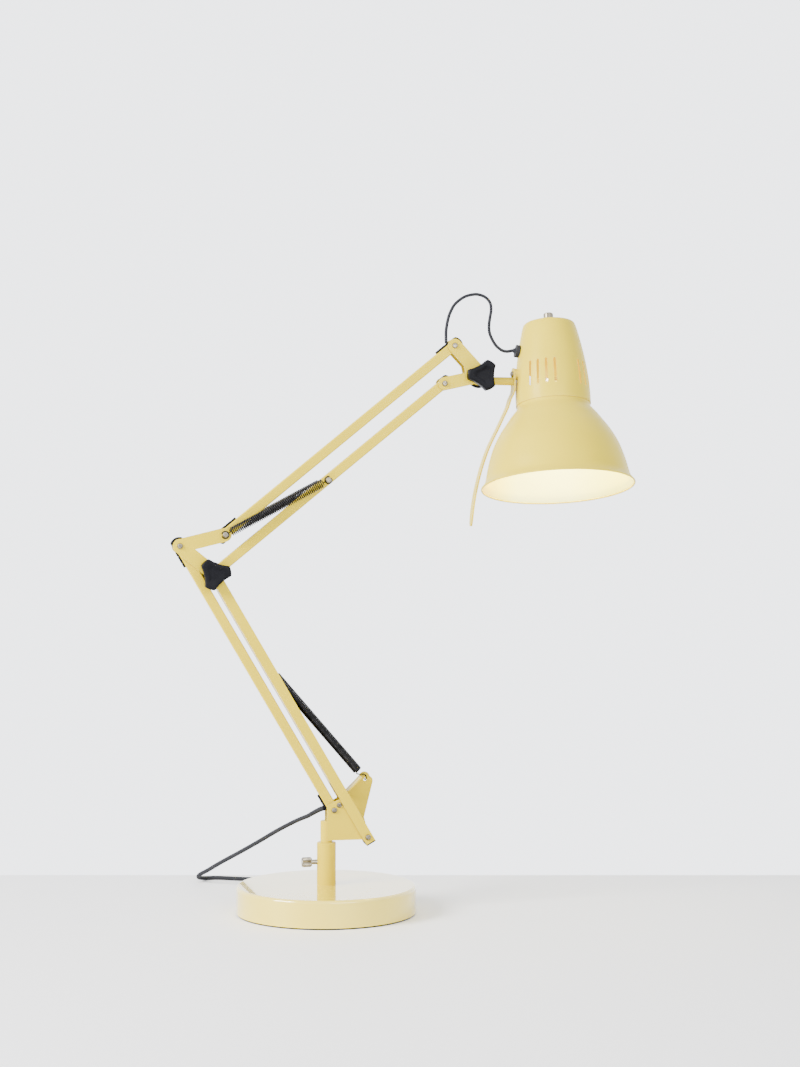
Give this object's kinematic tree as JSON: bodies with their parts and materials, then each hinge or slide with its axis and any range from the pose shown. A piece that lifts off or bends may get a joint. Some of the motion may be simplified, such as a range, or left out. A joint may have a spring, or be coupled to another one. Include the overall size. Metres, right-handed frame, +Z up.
{
  "type": "desk lamp",
  "caption": "Architect desk lamp: round weighted foot, turning post bracket, two spring-balanced parallelogram arms of square tube, and a bell shade on a jointed head.",
  "frame": {"origin": "centre of the foot's underside", "axes": "+Z up, +X right along the arm towards the shade, +Y to the back of the lamp"},
  "size_m": [0.4663, 0.3151, 0.6239],
  "materials": {
    "paint": "glossy pale yellow enamel",
    "ballast": "rough casting",
    "pad": "matte",
    "nickel": "bright nickel plate",
    "lead": "matte",
    "black_plastic": "fine satin",
    "spring_steel": "black oxide",
    "bulb_cap": "satin",
    "bulb": "lit opal glass"
  },
  "bodies": {
    "base": {"base_shell": "paint", "base_weight": "ballast", "base_pad": "pad", "post_collar": "paint", "mains_lead": "lead", "mains_coil": "lead", "mains_tail": "lead", "mains_plug": "black_plastic", "plug_pins": "nickel"},
    "thumb_screw": {"thumb_screw": "nickel"},
    "swivel": {"post_spigot": "paint", "bracket_front": "paint", "bracket_rear": "paint", "bracket_screw": "nickel", "lower_pins": "nickel", "bracket_washers": "black_plastic"},
    "lower_tube": {"lower_tube": "paint", "lower_tube_caps": "black_plastic", "lower_lead_strips": "black_plastic", "lead_relief": "lead"},
    "link_channel": {"link_channel": "paint", "link_end_cap": "black_plastic", "spring_anchor": "nickel", "lower_spring": "spring_steel"},
    "elbow": {"elbow_plate_front": "paint", "elbow_plate_rear": "paint", "elbow_pins": "nickel", "elbow_bolt": "nickel", "elbow_clamp_disc": "black_plastic", "elbow_washers": "black_plastic"},
    "elbow_knob": {"elbow_knob": "black_plastic"},
    "upper_tube": {"upper_tube": "paint", "upper_tube_caps": "black_plastic", "upper_lead_strips": "black_plastic", "head_lead_start": "lead"},
    "under_tube": {"under_tube": "paint", "under_tube_caps": "black_plastic", "spring_posts": "nickel", "upper_spring_front": "spring_steel", "upper_spring_rear": "spring_steel"},
    "head": {"head_plate_front": "paint", "head_plate_rear": "paint", "head_pins": "nickel", "head_bolt": "nickel", "head_clamp_disc": "black_plastic", "head_washers": "black_plastic", "head_lead_loop": "lead"},
    "head_knob": {"head_knob": "black_plastic"},
    "head_arm": {"head_rod": "paint", "aim_handle": "paint", "shade_pivot_bolt": "nickel"},
    "shade": {"shade_cap": "paint", "shade_dome": "paint", "lead_grommet": "lead", "top_nipple": "nickel", "top_nut": "nickel", "lampholder": "black_plastic", "bulb_base": "bulb_cap", "bulb_glass": "bulb", "head_lead_end": "lead"}
  },
  "joints": [
    {"name": "post_turn", "type": "hinge", "parent": "base", "child": "swivel", "pos_m": [0, 0, 0.0705], "axis": [0, 0, 1], "range_deg": [-90, 90], "deforming": ["mains_lead", "lead_relief"]},
    {"name": "thumb_turn", "type": "hinge", "parent": "base", "child": "thumb_screw", "pos_m": [-0.0199, 0, 0.051], "axis": [-1, 0, 0], "continuous": true},
    {"name": "lower_tilt", "type": "hinge", "parent": "swivel", "child": "lower_tube", "pos_m": [0.0068, 0, 0.103], "axis": [0, 1, 0], "range_deg": [-1.5, 42], "deforming": ["lower_spring"]},
    {"name": "channel_tilt", "type": "hinge", "parent": "swivel", "child": "link_channel", "pos_m": [0.04043, 0, 0.07557], "axis": [0, 1, 0], "range_deg": [-2, 43]},
    {"name": "elbow_level", "type": "hinge", "parent": "lower_tube", "child": "elbow", "pos_m": [-0.14662, 0, 0.3666], "axis": [0, 1, 0], "range_deg": [-43, 2]},
    {"name": "upper_tilt", "type": "hinge", "parent": "elbow", "child": "under_tube", "pos_m": [-0.11299, 0, 0.33917], "axis": [0, 1, 0], "range_deg": [-18, 60], "deforming": ["upper_spring_front", "upper_spring_rear"]},
    {"name": "top_tilt", "type": "hinge", "parent": "elbow", "child": "upper_tube", "pos_m": [-0.10249, 0, 0.37756], "axis": [0, 1, 0], "range_deg": [-19, 61]},
    {"name": "head_level", "type": "hinge", "parent": "upper_tube", "child": "head", "pos_m": [0.13011, 0, 0.56862], "axis": [0, 1, 0], "range_deg": [-61, 19], "deforming": ["head_lead_start", "head_lead_loop"]},
    {"name": "elbow_knob_turn", "type": "hinge", "parent": "elbow", "child": "elbow_knob", "pos_m": [-0.11299, -0.0157, 0.33917], "axis": [0, -1, 0], "continuous": true},
    {"name": "head_tilt", "type": "hinge", "parent": "head", "child": "head_arm", "pos_m": [0.1582, 0, 0.53883], "axis": [0, 1, 0], "range_deg": [-45, 30], "deforming": ["head_lead_end"]},
    {"name": "head_knob_turn", "type": "hinge", "parent": "head", "child": "head_knob", "pos_m": [0.1582, -0.0126, 0.53883], "axis": [0, -1, 0], "continuous": true},
    {"name": "shade_roll", "type": "hinge", "parent": "head_arm", "child": "shade", "pos_m": [0.1968, 0, 0.5413], "axis": [1, 0, 0], "range_deg": [-45, 60]}
  ],
  "couplings": [
    {"joint": "channel_tilt", "follows": "lower_tilt", "ratio": 1},
    {"joint": "elbow_level", "follows": "lower_tilt", "ratio": -1},
    {"joint": "top_tilt", "follows": "upper_tilt", "ratio": 1},
    {"joint": "head_level", "follows": "upper_tilt", "ratio": -1}
  ]
}
